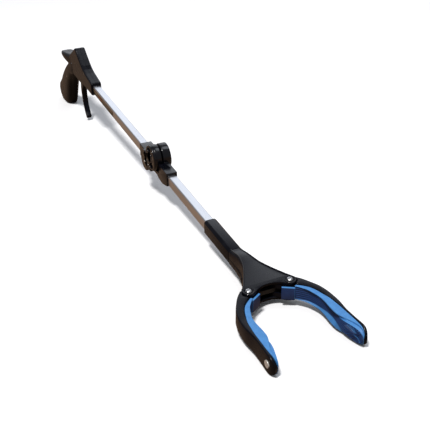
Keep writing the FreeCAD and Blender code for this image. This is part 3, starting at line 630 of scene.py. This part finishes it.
# ---------------------------------------------------------------- hinge and label
HINGE = (400, 12)
DRUM = 17.0                       # radius
DRUM_HALF = 12.1                  # half its width
RECESS_DEEP, RECESS_AT, RECESS = 3.4, 11.6, 2.72     # depth, distance from the bolt, radius
LATCH_PIN = (377, -3.2, 1.5)      # x, z, radius


def make_hinge():
    """The two knuckles, with deep recesses in the drum's faces and a slot from drum to lobe."""
    for node, side in (("hinge_knuckle_rear", -1), ("hinge_knuckle_front", 1)):
        knuckle = copy_node(node)
        face, deep = side * (DRUM_HALF + 1), side * (DRUM_HALF - RECESS_DEEP)
        low, high = min(face, deep), max(face, deep)
        for radius, inner in ((DRUM + 0.75, DRUM - 0.02), (8.3, 6.7)):
            if side > 0 and radius > DRUM:
                continue
            ring = peg("Y", radius, low, high, *HINGE, 72)
            cut_with(ring, peg("Y", inner, low - 1, high + 1, *HINGE, 72))
            cut_with(knuckle, settle(ring))
        for turn in (105, 285):
            for step in (-22, -11, 0, 11, 22):
                a = math.radians(turn + step)
                hole = peg("Y", RECESS, low, high, HINGE[0] + RECESS_AT * math.cos(a),
                           HINGE[1] + RECESS_AT * math.sin(a), 28)
                cut_with(knuckle, settle(hole))
        tidy_mesh(knuckle)
        soften(knuckle, 0.4, 2, 35)
        smooth(knuckle)
        dress(knuckle, BODY_OF[node], node, ABS)
        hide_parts(node)
    pin = settle(peg("Y", LATCH_PIN[2], -DRUM_HALF - 0.5, DRUM_HALF + 0.5, *LATCH_PIN[:2], 32))
    soften(pin, 0.5, 3, 40)
    smooth(pin, 50)
    pin.name = "latch_pin_finished"
    dress(pin, "handle", "latch_pin", NICKEL)
    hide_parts("latch_pin")


def make_label():
    """A plain label without lettering on the rear tube's right side."""
    side = -5.6                   # the tube's right face
    for name, material, x, z, thick in (
            ("label", LABEL, (114, 217), (-5.2, 3.4), 0.12),
            ("label_tan_block", TAN_INK, (117, 136), (-0.6, 1.9), 0.16),
            ("label_red_block", RED_INK, (138, 160), (-2.2, 0.8), 0.16),
            ("label_tan_line", TAN_INK, (163, 213), (0.2, 1.4), 0.16)):
        film = settle(brick(x, (side - thick, side + 0.02), z))
        film.name = name
        tidy_mesh(film)
        smooth(film, 30)
        dress(film, "handle", "tube_rear", material)


make_handle()
make_label()
moulded("trigger", NYLON, 1.5)
for node in ("head_sleeve", "head_shell_bottom"):
    moulded(node, NYLON, 0.7)
make_head_top()
make_pivot_bolts()
make_arms()
make_hinge()
moulded("fold_latch", ABS, 0.6)
for node in ("tube_rear", "tube_front"):
    piece = copy_node(node)
    smooth(piece, 25)
    dress(piece, BODY_OF[node], node, TUBE)
    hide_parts(node)
make_linings()
make_rim()
for node, material in FINISH.items():
    part = frame["nodes"][node]
    part.data.materials.clear()
    part.data.materials.append(material)

# ---------------------------------------------------------------- stage, lights and camera
clear_selection()
bpy.ops.mesh.primitive_plane_add(size=14, location=(0, 0, -0.0003))
floor = bpy.context.object
floor.name = "floor"
paper = bpy.data.materials.new("pale_floor")
paper.use_nodes = True
tree = paper.node_tree
tree.nodes.clear()
# the floor is seen pale, and its bounce on the tool is the warmer tone of a table
seen = add(tree, "BsdfDiffuse", {"Color": linear("#fafafb")})
bounced = add(tree, "BsdfDiffuse", {"Color": linear("#816a58")})
straight = add(tree, "LightPath").outputs["Is Camera Ray"]
mixed = add(tree, "MixShader", {0: straight, 1: bounced.outputs["BSDF"], 2: seen.outputs["BSDF"]})
add(tree, "OutputMaterial", {"Surface": mixed.outputs["Shader"]})
floor.data.materials.append(paper)

world = bpy.data.worlds.new("studio")
world.use_nodes = True
tree = world.node_tree
tree.nodes.clear()
# dim all round, for the shadows' sake, but seen pale beyond the floor's far edge
dim = add(tree, "Background", {"Color": (0.96, 0.97, 1.0, 1), "Strength": 0.24})
pale = add(tree, "Background", {"Color": (1, 1, 1, 1), "Strength": 0.97})
straight = add(tree, "LightPath").outputs["Is Camera Ray"]
mixed = add(tree, "MixShader", {0: straight, 1: dim.outputs["Background"], 2: pale.outputs["Background"]})
add(tree, "OutputWorld", {"Surface": mixed.outputs["Shader"]})
bpy.context.scene.world = world
bpy.context.scene.view_settings.view_transform = "Standard"


def area_light(name, place, target, size, power, colour=(1, 1, 1)):
    light = bpy.data.lights.new(name, "AREA")
    light.shape, light.size, light.energy, light.color = "DISK", size, power, colour
    lamp = bpy.data.objects.new(name, light)
    bpy.context.scene.collection.objects.link(lamp)
    lamp.location = place
    lamp.rotation_mode = "QUATERNION"
    lamp.rotation_quaternion = (Vector(target) - Vector(place)).to_track_quat("-Z", "Y")


area_light("key", (1.7, -1.7, 5.7), (0, 0, 0), 1.1, 350, (1.0, 0.985, 0.97))
area_light("overhead", (0.1, 1.0, 2.8), (0, 0, 0), 1.4, 13, (0.86, 0.91, 1.0))
area_light("back_card", (-5.2, 2.2, 3.1), (0, 0, 0), 6, 84, (0.87, 0.92, 1.0))

camera = bpy.data.objects.new("camera", bpy.data.cameras.new("camera"))
bpy.context.scene.collection.objects.link(camera)
camera.data.lens, camera.data.sensor_width = 61.07, 36
camera.data.clip_start, camera.data.clip_end = 0.05, 60
# the camera's own axes and place, in the tool's axes
right, down = Vector((0.41156, 0.91134, -0.0092)), Vector((0.47619, -0.22363, -0.85043))
back = Vector((0.77709, -0.34562, 0.52601))
turn = Matrix.Rotation(TILT, 3, "Y") @ Matrix((right, -down, back)).transposed()
camera.matrix_world = Matrix.Translation(STANCE @ Vector((1209.2, -280, 448.5))) @ turn.to_4x4()
bpy.context.scene.camera = camera
